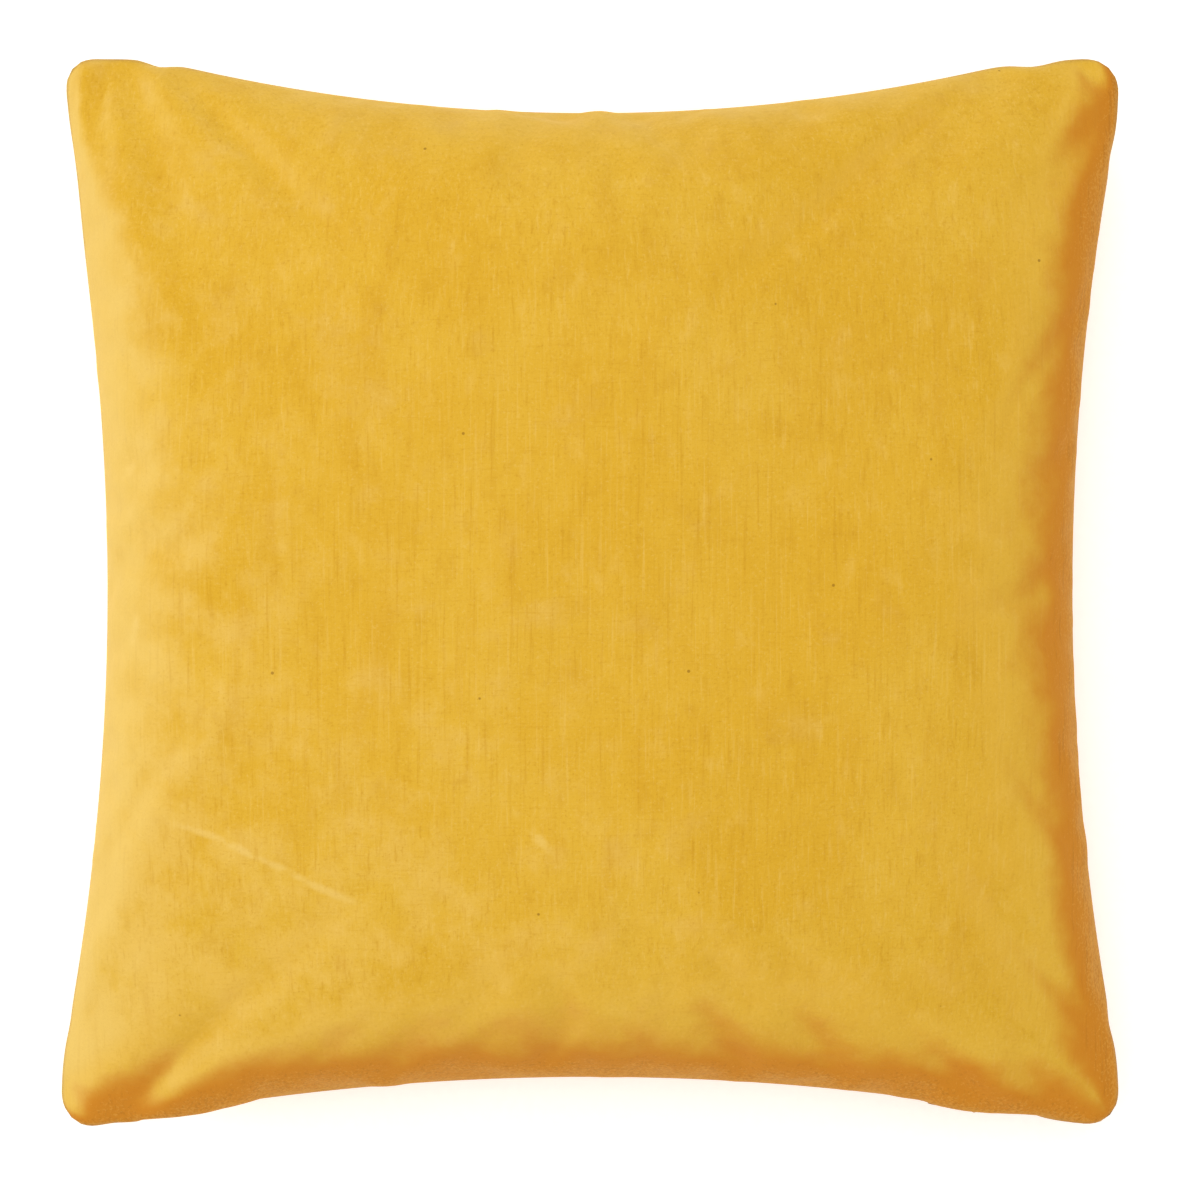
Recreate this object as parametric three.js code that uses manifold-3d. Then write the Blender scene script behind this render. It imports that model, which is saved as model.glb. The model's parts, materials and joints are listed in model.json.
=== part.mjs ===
// A square throw pillow: a zipped velvet cover round a fibre-filled insert, lying on its back.
// Millimetres, +Z up. The origin is on the floor under the middle of the pillow, +Z points out of
// its front face, +Y up that face and +X to its right. The zip is in the seam along the -Y edge.
import * as THREE from "three";
import { mergeVertices } from "three/addons/utils/BufferGeometryUtils.js";
import Module from "manifold-3d";

const wasm = await Module();
wasm.setup();

// The stuffed cover, measured over its corners.
const WIDTH = 498;
const LENGTH = 502;
const CORNER_RADIUS = 18;
const SIDE_PULL = 21.7; // how far the filling draws in the middle of the left and right edges
const TOP_PULL = 25.4;
const ZIP_PULL = 22.6;
const FRONT_RISE = 74; // from the seam up to the crown
const BACK_DEPTH = 66; // from the seam down to the floor
const REST_SQUASH = 1.6; // how much deeper the back would hang if nothing held it up

// How full the faces are: they stay level far out, turn down steeply and thin out in the corners.
const FACE_POWER = 4.6;
const SHOULDER_POWER = 0.6;
const CORNER_SLACK = 0.5;
const CORNER_POWER = 3;

// Cloth and seams.
const VELVET = 1.5;
const VELVET_ALLOWANCE = 12;
const TICKING = 1;
const TICKING_ALLOWANCE = 6;
const SEAM_GAP = 0.3; // between two layers that are sewn face to face
const STITCH_DEPTH = 2.6; // from the edge in to the line of stitches
const STITCH_THREAD = 0.8;
const OVERLOCK_THREAD = 1.4;
const THREAD_CLEARANCE = 0.3;
const GROOVE_SLOPE = 0.4;

// The insert and its filling.
const INSERT_CLEARANCE = 1.3; // round the overlocked edge of the cover's allowance
const FACE_CLEARANCE = 0.8; // between the insert's faces and the cover's
const FILL_CLEARANCE = 0.6;

// The concealed zip. Depths run inwards from the seam's edge, and heights up from the seam.
const ZIP_END_SEAM = 59; // the plain seam between a corner and the zip's stops
const LIP = 2.5; // the fold of velvet that hides the coils
const CHAIN_DEPTH = 5.4; // the middle of the coils
const CHAIN_THICKNESS = 2;
const COIL_WIDTH = 1.8;
const COIL_CHAMFER = 0.5;
const COIL_SPLIT = 1; // left between the two coils, where the slider's wedge runs
const TAPE_WIDTH = 10;
const TAPE_THICKNESS = 0.6;
const TAPE_FLAT = 2.2; // the strip beside the coil that runs level through the slider
const TAPE_LEAN = 0.45; // how far the rest leans in, per millimetre of height
const TAPE_TAIL = 10; // beyond each stop
const STOP_LENGTH = 3;
const PIECE_GAP = 0.3; // between pieces that touch

// The slider and its pull tab.
const SLIDER_LENGTH = 9;
const SLIDER_PLATE = 0.9;
const SLIDER_SIDE = 0.6;
const SLIDER_CLEARANCE = 0.5; // round the coils and the tapes
const WEDGE_THICKNESS = 0.5;
const WEDGE_LENGTH = 3;
const LUG_THICKNESS = 1.2;
const LUG_CLEARANCE = 0.3; // to the lips of velvet and to the pull's fork, on each side
const LUG_RADIUS = 1.6;
const PIN_RECESS = 0.2; // of each end of the pin in the fork
const PIN_RADIUS = 0.45;
const PIN_CLEARANCE = 0.35;
const PULL_THICKNESS = 1.2;
const PULL_STAND_OFF = 0.8; // from the edge of the seam out to the pull
const PULL_LENGTH = 22;
const PULL_WIDTH = 6.4;
const PULL_NECK_WIDTH = 5;
const FORK_CLEARANCE = 0.6; // from the lug's round end to the pull's plate

// The care label, a blank loop of ribbon sewn into the seam inside the cover's left edge.
const LABEL_LENGTH = 30;
const LABEL_HEIGHT = 16;
const LABEL_THICKNESS = 0.6;
const LABEL_HEADROOM = 3; // between its fold and the velvet over it
const LABEL_PLACE = -110; // along Y

// Facets.
const EDGE_SEGMENTS = 8;
const CORNER_SEGMENTS = 3;
const THREAD_SIDES = 5;
const SMALLEST_ROUND = 3; // at the corners of an outline that is drawn in further than the rounds
const SAME_POINT = 1e-4;
const ARC_STEPS = 24;
const ROUND_SEGMENTS = 16;

const SEAM_Z = BACK_DEPTH;
const ZIP_HALF = WIDTH / 2 - ZIP_END_SEAM;
const LIP_OPENING = LUG_THICKNESS / 2 + LUG_CLEARANCE; // from the seam's middle to each lip
const LIP_RUN = 3; // how far the lips run on beyond the stops
const LIP_END = 10; // over which they close into the plain seam
const CHAIN_OUTER = CHAIN_DEPTH - CHAIN_THICKNESS / 2;
const CHAIN_INNER = CHAIN_DEPTH + CHAIN_THICKNESS / 2;
const COIL_EDGE = COIL_SPLIT / 2 + COIL_WIDTH;
const PIN_DEPTH = -PULL_STAND_OFF - PULL_THICKNESS / 2;

const MATERIALS = {
  velvet: { color: 0xe2b033, roughness: 0.9 },
  ticking: { color: 0xf2efe8, roughness: 0.95 },
  fibre: { color: 0xfafafa, roughness: 1 },
  thread: { color: 0xc9902a, roughness: 0.8 },
  white_thread: { color: 0xeeeeea, roughness: 0.8 },
  tape: { color: 0xc08a2c, roughness: 0.85 },
  coil: { color: 0xc28a28, roughness: 0.45 },
  metal: { color: 0xb98a3a, roughness: 0.4, metalness: 0.9 },
  label: { color: 0xf5f3ee, roughness: 0.7 },
};

const pillow = new THREE.Group();

function addPiece(name, finish, geometry, parent = pillow) {
  const mesh = new THREE.Mesh(geometry, new THREE.MeshStandardMaterial(MATERIALS[finish]));
  mesh.name = name;
  parent.add(mesh);
  return mesh;
}

// ---- The outline: four edges drawn in as arcs, tangent to a round at each corner. ----

// The radius of the arc whose middle is drawn in by pull between corner rounds reach apart from it.
function edgeRadius(reach, pull) {
  return (reach * reach + pull * pull) / (2 * pull) - CORNER_RADIUS;
}

function edgeArc(across, along, pull, turn) {
  const radius = edgeRadius(across / 2 - CORNER_RADIUS, pull);
  const far = along / 2 - pull + radius;
  const centre = new THREE.Vector2(0, -far).rotateAround(new THREE.Vector2(), turn);
  return { radius, centre, turn };
}

// Counter-clockwise from the zip's edge, each turned a quarter from the one before.
const EDGES = [
  edgeArc(WIDTH, LENGTH, ZIP_PULL, 0),
  edgeArc(LENGTH, WIDTH, SIDE_PULL, Math.PI / 2),
  edgeArc(WIDTH, LENGTH, TOP_PULL, Math.PI),
  edgeArc(LENGTH, WIDTH, SIDE_PULL, -Math.PI / 2),
];
const ZIP_ARC = EDGES[0];

// Of the two points that lie r1 from c1 and r2 from c2, the one nearer to the pillow's middle.
function circlesMeet(c1, r1, c2, r2) {
  const line = c2.clone().sub(c1);
  const apart = line.length();
  const along = (apart * apart + r1 * r1 - r2 * r2) / (2 * apart);
  const off = Math.sqrt(r1 * r1 - along * along);
  line.normalize();
  const foot = c1.clone().addScaledVector(line, along);
  const side = new THREE.Vector2(-line.y, line.x).multiplyScalar(off);
  const found = [foot.clone().add(side), foot.clone().sub(side)];
  return found[0].length() < found[1].length() ? found[0] : found[1];
}

// Where an edge's stations are, as shares of the way from its middle to its corner rounds. On the
// zip's edge they fall where the lips end and where the plain seam begins.
function stationShares(edge, reach) {
  const evenly = Array.from({ length: EDGE_SEGMENTS + 1 }, (_, k) => (2 * k) / EDGE_SEGMENTS - 1);
  if (edge !== ZIP_ARC) return evenly;
  const lipEnd = Math.asin((ZIP_HALF + LIP_RUN) / edge.radius) / reach;
  const plain = Math.asin((ZIP_HALF + LIP_RUN + LIP_END) / edge.radius) / reach;
  return [-1, -plain, ...evenly.map((share) => share * lipEnd), plain, 1];
}

// The outline drawn in by inset, as {x, y} stations that correspond from one inset to another.
function outline(inset) {
  const round = Math.max(CORNER_RADIUS - inset, SMALLEST_ROUND);
  const rounds = EDGES.map((edge, k) => {
    const next = EDGES[(k + 1) % 4];
    const reach = inset + round;
    return circlesMeet(edge.centre, edge.radius + reach, next.centre, next.radius + reach);
  });
  const stations = [];
  EDGES.forEach((edge, k) => {
    const start = rounds[(k + 3) % 4].clone().sub(edge.centre).angle();
    const middle = edge.turn + Math.PI / 2;
    const reach = Math.abs(Math.atan2(Math.sin(start - middle), Math.cos(start - middle)));
    const radius = edge.radius + inset;
    for (const share of stationShares(edge, reach)) {
      const angle = middle - share * reach;
      const across = new THREE.Vector2(Math.cos(angle), Math.sin(angle));
      stations.push(edge.centre.clone().addScaledVector(across, radius));
    }
    const from = middle - reach + Math.PI;
    const next = EDGES[(k + 1) % 4];
    const to = rounds[k].clone().sub(next.centre).angle() + Math.PI;
    const turn = THREE.MathUtils.euclideanModulo(to - from, 2 * Math.PI);
    for (let j = 1; j < CORNER_SEGMENTS; j++) {
      const angle = from + (turn * j) / CORNER_SEGMENTS;
      const out = new THREE.Vector2(Math.cos(angle), Math.sin(angle));
      stations.push(rounds[k].clone().addScaledVector(out, round));
    }
  });
  return stations;
}

const EDGE = outline(0);

// Whether the seam is plain at each station, and not open between the zip's lips.
const PLAIN = EDGE.map((p) => {
  const alongZip = p.y < 0 && Math.abs(p.x) < WIDTH / 2 - CORNER_RADIUS && -p.y > LENGTH / 2 - 2 * ZIP_PULL;
  const beyond = Math.abs(p.x) - ZIP_HALF - LIP_RUN - LIP_END / 2;
  return !(alongZip && beyond < 0);
});

// ---- Solids made of closed rings of points, each joined to the next, with both ends filled. ----

function loft(rings) {
  const count = rings[0].length;
  const points = rings.flat();
  const ends = [rings[0], rings[rings.length - 1]].map((ring) => {
    const middle = new THREE.Vector3();
    ring.forEach((p) => middle.add(p));
    return points.push(middle.divideScalar(count)) - 1;
  });
  const index = [];
  const last = (rings.length - 1) * count;
  for (let i = 0; i < count; i++) {
    const j = (i + 1) % count;
    for (let k = 0; k < last; k += count) {
      index.push(k + i, k + count + i, k + j);
      index.push(k + j, k + count + i, k + count + j);
    }
    index.push(ends[0], i, j);
    index.push(ends[1], last + j, last + i);
  }
  const geometry = new THREE.BufferGeometry().setFromPoints(points);
  geometry.setIndex(index);
  return geometry;
}

// How high a face stands at share t of the way from the middle to its outline: 1 at the middle.
function fullness(t, point) {
  const inCorner = Math.abs((2 * point.x) / WIDTH) * Math.abs((2 * point.y) / LENGTH);
  const slack = 1 - CORNER_SLACK * Math.pow(inCorner, CORNER_POWER);
  return Math.pow(Math.max(1 - Math.pow(t, FACE_POWER), 0), SHOULDER_POWER) * slack;
}

// One face as rings from its middle out to its outline, rise high and no higher than cap.
function faceRings(stations, shares, rise, cap, floor) {
  return shares.map((t) =>
    stations.map((p, i) => {
      const x = p.x * t;
      const y = p.y * t;
      const height = floor(i) + (rise - floor(i)) * fullness(t, { x, y });
      return new THREE.Vector3(x, y, Math.min(height, cap));
    }),
  );
}

// Faces up for a front panel and down for a back one, which turns the rings' sense round.
function placed(rings, up) {
  const moved = rings.map((ring) => ring.map((p) => new THREE.Vector3(p.x, p.y, SEAM_Z + up * p.z)));
  return loft(up > 0 ? moved : moved.reverse());
}

// The underside of a seam allowance, with the groove that the stitches lie in: how far in from the
// edge, the share of a lip's width where there is a lip instead, and the height.
function underside(allowance) {
  const half = STITCH_THREAD / 2 + THREAD_CLEARANCE;
  const groove = half - SEAM_GAP / 2;
  return [
    [STITCH_DEPTH - half - GROOVE_SLOPE, 0.2, 0],
    [STITCH_DEPTH - half, 0.4, groove],
    [STITCH_DEPTH + half, 0.6, groove],
    [STITCH_DEPTH + half + GROOVE_SLOPE, 0.8, 0],
    [allowance, 1, 0],
  ];
}

// A sewn panel: a domed shell whose seam allowance is turned in along the seam's plane. Along the
// zip the allowance is only a lip, and the two panels' lips stand apart for the pull tab's lug.
function panel({ inset, rise, cap, cloth, allowance, shares, zipped }, up) {
  const isPlain = (i) => !zipped || PLAIN[i];
  const lift = (i) => (isPlain(i) ? SEAM_GAP / 2 : LIP_OPENING);
  const edge = outline(inset);
  const deep = outline(inset + allowance);
  const turnedIn = ([depth, lipShare, height]) =>
    edge.map((p, i) => {
      const at = p.clone().lerp(deep[i], (isPlain(i) ? depth : LIP * lipShare) / allowance);
      return new THREE.Vector3(at.x, at.y, lift(i) + (isPlain(i) ? height : 0));
    });
  const under = underside(allowance).map(turnedIn);
  const over = under[under.length - 1].map((p) => new THREE.Vector3(p.x, p.y, p.z + cloth));
  const outside = faceRings(edge, shares, rise, cap, lift);
  const inside = faceRings(outline(inset + cloth), shares, rise - cloth, cap - cloth, lift);
  inside.forEach((ring) => ring.forEach((p, i) => (p.z = Math.max(p.z, lift(i) + cloth))));
  return placed([...outside, ...under, over, ...inside.reverse()], up);
}

const COVER = {
  inset: 0,
  cloth: VELVET,
  allowance: VELVET_ALLOWANCE,
  shares: [0.3, 0.6, 0.8, 0.9, 0.95, 0.98, 1],
  zipped: true,
};
const INSERT_INSET = VELVET_ALLOWANCE + PIECE_GAP + OVERLOCK_THREAD + INSERT_CLEARANCE;
const INSERT = {
  inset: INSERT_INSET,
  cloth: TICKING,
  allowance: TICKING_ALLOWANCE,
  shares: [0.35, 0.65, 0.83, 0.93, 1],
  zipped: false,
};
const NEVER = Infinity;

function addPanels() {
  const free = BACK_DEPTH + REST_SQUASH;
  const under = VELVET + FACE_CLEARANCE;
  addPiece("front_panel", "velvet", panel({ ...COVER, rise: FRONT_RISE, cap: NEVER }, 1));
  addPiece("back_panel", "velvet", panel({ ...COVER, rise: free, cap: BACK_DEPTH }, -1));
  const front = { ...INSERT, rise: FRONT_RISE - under, cap: NEVER };
  const back = { ...INSERT, rise: free - under, cap: BACK_DEPTH - under };
  addPiece("insert_front_ticking", "ticking", panel(front, 1));
  addPiece("insert_back_ticking", "ticking", panel(back, -1));
}

function addFilling() {
  const stations = outline(INSERT_INSET + TICKING_ALLOWANCE + FILL_CLEARANCE);
  const under = VELVET + FACE_CLEARANCE + TICKING + FILL_CLEARANCE;
  const free = BACK_DEPTH + REST_SQUASH;
  const shares = INSERT.shares;
  const level = () => 0;
  const front = faceRings(stations, shares, FRONT_RISE - under, NEVER, level);
  const back = faceRings(stations, shares.slice(0, -1), free - under, BACK_DEPTH - under, level);
  back.forEach((ring) => ring.forEach((p) => (p.z = -p.z)));
  addPiece("fibre_fill", "fibre", placed([...front, ...back.reverse()], 1));
}

// ---- Threads that run along the seams. ----

// The rings of a thread laid along some of the outline's stations.
function threadAlong(inset, thickness, stations) {
  const line = outline(inset);
  const outside = outline(inset - thickness);
  return stations.map((i) => {
    const out = outside[i].clone().sub(line[i]).normalize();
    const ring = [];
    for (let k = 0; k < THREAD_SIDES; k++) {
      const angle = (2 * Math.PI * k) / THREAD_SIDES;
      const away = (Math.cos(angle) * thickness) / 2;
      const z = SEAM_Z + (Math.sin(angle) * thickness) / 2;
      ring.push(new THREE.Vector3(line[i].x + out.x * away, line[i].y + out.y * away, z));
    }
    return ring;
  });
}

// The stations from one end of the zip right round to its other end.
function plainStations() {
  const count = EDGE.length;
  const after = EDGE.findIndex((p, i) => PLAIN[i] && !PLAIN[(i + count - 1) % count]);
  const order = EDGE.map((p, k) => (after + k) % count);
  return order.filter((i) => PLAIN[i]);
}

// A solid whose last ring joins its first.
function closedLoft(rings) {
  const sides = rings[0].length;
  const count = rings.length;
  const index = [];
  for (let i = 0; i < count; i++) {
    const a = i * sides;
    const b = ((i + 1) % count) * sides;
    for (let k = 0; k < sides; k++) {
      const next = (k + 1) % sides;
      index.push(a + k, b + k, a + next);
      index.push(a + next, b + k, b + next);
    }
  }
  const geometry = new THREE.BufferGeometry().setFromPoints(rings.flat());
  geometry.setIndex(index);
  return geometry;
}

function addThreads() {
  const open = plainStations();
  const all = EDGE.map((p, i) => i);
  const overlock = VELVET_ALLOWANCE + PIECE_GAP + OVERLOCK_THREAD / 2;
  const insertLine = INSERT_INSET + STITCH_DEPTH;
  addPiece("cover_seam_thread", "thread", loft(threadAlong(STITCH_DEPTH, STITCH_THREAD, open)));
  addPiece("cover_overlock_thread", "thread", loft(threadAlong(overlock, OVERLOCK_THREAD, open)));
  const round = threadAlong(insertLine, STITCH_THREAD, all);
  addPiece("insert_seam_thread", "white_thread", closedLoft(round));
}

// ---- The zip. Its pieces follow the arc of the zip's edge. ----

class ZipArc extends THREE.Curve {
  // from and to are lengths along the seam's edge, counted from its middle towards +X.
  constructor(from, to) {
    super();
    this.from = from;
    this.to = to;
  }

  getPoint(t, target = new THREE.Vector3()) {
    const angle = THREE.MathUtils.lerp(this.from, this.to, t) / ZIP_ARC.radius;
    const { centre, radius } = ZIP_ARC;
    return target.set(centre.x + radius * Math.sin(angle), centre.y + radius * Math.cos(angle), SEAM_Z);
  }
}

// A section of [height, depth] points, swept along the zip's edge. The sweep's first axis is -Z.
function alongZip(section, from, to, steps = ARC_STEPS) {
  const shape = new THREE.Shape(section.map(([height, depth]) => new THREE.Vector2(-height, depth)));
  const path = new ZipArc(from, to);
  return new THREE.ExtrudeGeometry(shape, { steps, extrudePath: path, curveSegments: 1 });
}

function mirrored(section, side) {
  return side > 0 ? section : section.map(([height, depth]) => [-height, depth]).reverse();
}

function rectangle(height0, height1, depth0, depth1) {
  return [
    [height0, depth0],
    [height1, depth0],
    [height1, depth1],
    [height0, depth1],
  ];
}

function coilSection() {
  const [low, high, chamfer] = [COIL_SPLIT / 2, COIL_EDGE, COIL_CHAMFER];
  return [
    [low, CHAIN_OUTER + chamfer],
    [low + chamfer, CHAIN_OUTER],
    [high - chamfer, CHAIN_OUTER],
    [high, CHAIN_OUTER + chamfer],
    [high, CHAIN_INNER - chamfer],
    [high - chamfer, CHAIN_INNER],
    [low + chamfer, CHAIN_INNER],
    [low, CHAIN_INNER - chamfer],
  ];
}

const TAPE_START = COIL_EDGE + PIECE_GAP;
const TAPE_BEND = TAPE_START + TAPE_FLAT;
const TAPE_END = TAPE_START + TAPE_WIDTH;
const TAPE_OUTER = CHAIN_DEPTH - TAPE_THICKNESS / 2;

function tapeDepth(height) {
  return TAPE_OUTER + Math.max(height - TAPE_BEND, 0) * TAPE_LEAN;
}

function tapeSection() {
  return [
    [TAPE_START, TAPE_OUTER],
    [TAPE_BEND, TAPE_OUTER],
    [TAPE_END, tapeDepth(TAPE_END)],
    [TAPE_END, tapeDepth(TAPE_END) + TAPE_THICKNESS],
    [TAPE_BEND, TAPE_OUTER + TAPE_THICKNESS],
    [TAPE_START, TAPE_OUTER + TAPE_THICKNESS],
  ];
}

function stitchingSection() {
  const height = (TAPE_BEND + TAPE_END) / 2;
  const depth = tapeDepth(height) - PIECE_GAP - STITCH_THREAD;
  return rectangle(height, height + STITCH_THREAD, depth, depth + STITCH_THREAD);
}

function addZipHalf(word, side) {
  const coilEnd = ZIP_HALF - STOP_LENGTH - PIECE_GAP;
  const tail = ZIP_HALF + TAPE_TAIL;
  const stop = rectangle(COIL_SPLIT / 2, COIL_EDGE, CHAIN_OUTER, CHAIN_INNER);
  addPiece(`zip_tape_${word}`, "tape", alongZip(mirrored(tapeSection(), side), -tail, tail));
  addPiece(`zip_coil_${word}`, "coil", alongZip(mirrored(coilSection(), side), -coilEnd, coilEnd));
  addPiece(`zip_stitching_${word}`, "thread", alongZip(mirrored(stitchingSection(), side), -tail, tail));
  const from = ZIP_HALF - STOP_LENGTH;
  addPiece(`zip_top_stop_${word}`, "metal", alongZip(mirrored(stop, side), from, ZIP_HALF, 1));
}

function addZipFixedPieces() {
  addZipHalf("front", 1);
  addZipHalf("back", -1);
  const bottom = rectangle(-COIL_EDGE, COIL_EDGE, CHAIN_OUTER, CHAIN_INNER);
  addPiece("zip_bottom_stop", "metal", alongZip(bottom, -ZIP_HALF, STOP_LENGTH - ZIP_HALF, 1));
}

function toSolid(geometry) {
  const bare = geometry.clone();
  bare.deleteAttribute("normal");
  bare.deleteAttribute("uv");
  const merged = mergeVertices(bare, SAME_POINT);
  const vertProperties = new Float32Array(merged.attributes.position.array);
  const triVerts = new Uint32Array(merged.index.array);
  return new wasm.Manifold(new wasm.Mesh({ numProp: 3, vertProperties, triVerts }));
}

function toGeometry(solid) {
  const { numProp, vertProperties, triVerts } = solid.getMesh();
  const geometry = new THREE.BufferGeometry();
  geometry.setAttribute("position", new THREE.BufferAttribute(vertProperties, numProp));
  geometry.setIndex(new THREE.BufferAttribute(triVerts, 1));
  return geometry;
}

// A block between two corners, in the slider's frame: x along the zip, y inwards, z up.
function block(x0, x1, y0, y1, z0, z1) {
  const geometry = new THREE.BoxGeometry(x1 - x0, y1 - y0, z1 - z0);
  return toSolid(geometry.translate((x0 + x1) / 2, (y0 + y1) / 2, (z0 + z1) / 2));
}

// A round bar along z.
function bar(radius, x, y, length) {
  const geometry = new THREE.CylinderGeometry(radius, radius, length, ROUND_SEGMENTS);
  return toSolid(geometry.rotateX(Math.PI / 2).translate(x, y, 0));
}

const SLOT_HALF = TAPE_THICKNESS / 2 + SLIDER_CLEARANCE;
const SLIDER_OUTER = CHAIN_OUTER - SLIDER_CLEARANCE - SLIDER_PLATE;
const SLIDER_INNER = CHAIN_INNER + SLIDER_CLEARANCE + SLIDER_PLATE;
const SLIDER_HALF_WIDTH = COIL_EDGE + SLIDER_CLEARANCE + SLIDER_SIDE;

// Two plates with turned-in sides, the wedge that parts the coils, and a lug for the pull tab.
function sliderSolid() {
  const half = SLIDER_LENGTH / 2;
  const [w, side] = [SLIDER_HALF_WIDTH, SLIDER_HALF_WIDTH - SLIDER_SIDE];
  const inside = [SLIDER_OUTER + SLIDER_PLATE, SLIDER_INNER - SLIDER_PLATE];
  let solid = block(-half, half, SLIDER_OUTER, inside[0], -w, w);
  solid = solid.add(block(-half, half, inside[1], SLIDER_INNER, -w, w));
  for (const [z0, z1] of [[side, w], [-w, -side]]) {
    solid = solid.add(block(-half, half, SLIDER_OUTER, CHAIN_DEPTH - SLOT_HALF, z0, z1));
    solid = solid.add(block(-half, half, CHAIN_DEPTH + SLOT_HALF, SLIDER_INNER, z0, z1));
  }
  const wedge = WEDGE_THICKNESS / 2;
  solid = solid.add(block(half - WEDGE_LENGTH, half, SLIDER_OUTER, SLIDER_INNER, -wedge, wedge));
  const lug = LUG_THICKNESS / 2;
  const neck = SLIDER_OUTER + SLIDER_PLATE / 2;
  solid = solid.add(block(-LUG_RADIUS, LUG_RADIUS, PIN_DEPTH, neck, -lug, lug));
  solid = solid.add(bar(LUG_RADIUS, 0, PIN_DEPTH, LUG_THICKNESS));
  return solid.subtract(bar(PIN_RADIUS + PIN_CLEARANCE, 0, PIN_DEPTH, 2 * LUG_THICKNESS));
}

// A flat drop with a fork at its narrow end, whose pin goes through the slider's lug.
function pullSolid() {
  const [neck, wide] = [PULL_NECK_WIDTH / 2, PULL_WIDTH / 2];
  const drop = new THREE.Shape();
  drop.moveTo(LUG_RADIUS - FORK_CLEARANCE, -neck);
  drop.lineTo(wide - PULL_LENGTH, -wide);
  drop.absarc(wide - PULL_LENGTH, 0, wide, -Math.PI / 2, Math.PI / 2, true);
  drop.lineTo(LUG_RADIUS - FORK_CLEARANCE, neck);
  drop.closePath();
  const plate = new THREE.ExtrudeGeometry(drop, {
    depth: PULL_THICKNESS,
    bevelEnabled: false,
    curveSegments: ROUND_SEGMENTS / 2,
  });
  plate.rotateX(Math.PI / 2).translate(0, PIN_DEPTH + PULL_THICKNESS / 2, 0);
  const near = -LUG_RADIUS - FORK_CLEARANCE;
  const gap = LUG_THICKNESS / 2 + LUG_CLEARANCE;
  const deep = PIN_DEPTH - PULL_THICKNESS;
  const slot = block(near, LUG_RADIUS, deep, deep + 2 * PULL_THICKNESS, -gap, gap);
  return toSolid(plate).subtract(slot).add(bar(PIN_RADIUS, 0, PIN_DEPTH, PULL_NECK_WIDTH - 2 * PIN_RECESS));
}

// Closed, the slider stands against the top stops at the +X end.
function addSlider() {
  const parked = ZIP_HALF - STOP_LENGTH - SLIDER_CLEARANCE - SLIDER_LENGTH / 2;
  const arc = new ZipArc(parked, parked);
  const slider = new THREE.Group();
  slider.position.copy(arc.getPoint(0));
  slider.rotation.z = -parked / ZIP_ARC.radius;
  pillow.add(slider);
  addPiece("zip_slider_body", "metal", toGeometry(sliderSolid()), slider);
  addPiece("zip_pull_tab", "metal", toGeometry(pullSolid()), slider);
}

// How far in from the middle of a side edge the cover's inner face is height above the seam.
function insetAt(height) {
  const share = Math.pow(height / (FRONT_RISE - VELVET), 1 / SHOULDER_POWER);
  return VELVET + (WIDTH / 2 - SIDE_PULL) * (1 - Math.pow(1 - share, 1 / FACE_POWER));
}

function addCareLabel() {
  const edge = EDGES[3];
  const foot = SEAM_GAP / 2 + VELVET + PIECE_GAP;
  const radius = edge.radius + insetAt(foot + LABEL_HEIGHT + LABEL_HEADROOM);
  const angle = Math.asin(LABEL_PLACE / radius);
  const geometry = new THREE.BoxGeometry(LABEL_THICKNESS, LABEL_LENGTH, LABEL_HEIGHT);
  const label = addPiece("care_label", "label", geometry);
  label.position.set(edge.centre.x + radius * Math.cos(angle), LABEL_PLACE, SEAM_Z + foot + LABEL_HEIGHT / 2);
  label.rotation.z = angle;
}

addPanels();
addFilling();
addThreads();
addZipFixedPieces();
addSlider();
addCareLabel();

export default pillow;
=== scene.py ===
"""A square throw pillow in mustard velvet, lying on its back with its front face up.

The cover is two velvet panels joined by a knife-edge seam, with a concealed zip in the edge
towards -Y. Inside it lies a ticking insert full of polyester fibre. Everything is in metres.
"""
import json
import math

import bpy
import numpy as np
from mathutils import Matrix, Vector, noise
from mathutils.bvhtree import BVHTree


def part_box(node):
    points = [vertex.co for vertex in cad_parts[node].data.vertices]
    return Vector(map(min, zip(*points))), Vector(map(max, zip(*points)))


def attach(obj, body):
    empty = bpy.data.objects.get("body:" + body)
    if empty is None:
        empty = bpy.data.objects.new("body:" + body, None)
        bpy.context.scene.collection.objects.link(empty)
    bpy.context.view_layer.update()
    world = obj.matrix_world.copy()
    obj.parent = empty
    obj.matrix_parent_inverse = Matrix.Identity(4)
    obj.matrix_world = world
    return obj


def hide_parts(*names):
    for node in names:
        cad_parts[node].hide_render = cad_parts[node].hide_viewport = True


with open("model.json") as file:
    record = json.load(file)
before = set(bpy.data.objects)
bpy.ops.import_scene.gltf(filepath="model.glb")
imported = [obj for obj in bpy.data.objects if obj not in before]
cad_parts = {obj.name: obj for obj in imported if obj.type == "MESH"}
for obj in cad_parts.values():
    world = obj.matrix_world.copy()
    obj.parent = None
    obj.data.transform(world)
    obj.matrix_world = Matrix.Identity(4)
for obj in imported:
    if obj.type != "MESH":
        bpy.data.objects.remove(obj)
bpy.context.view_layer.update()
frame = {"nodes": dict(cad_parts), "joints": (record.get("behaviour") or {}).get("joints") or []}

MM = 0.001
WAVE_PERIOD = 0.314  # from one band of a wave texture to the next, at a scale of 1

# ---------------------------------------------------------------- sizes of the real thing
SEAM_Z = (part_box("front_panel")[0].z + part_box("back_panel")[1].z) / 2
HALF_WIDTH, HALF_LENGTH = 249 * MM, 251 * MM  # corner to corner, before the corners are rounded

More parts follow.
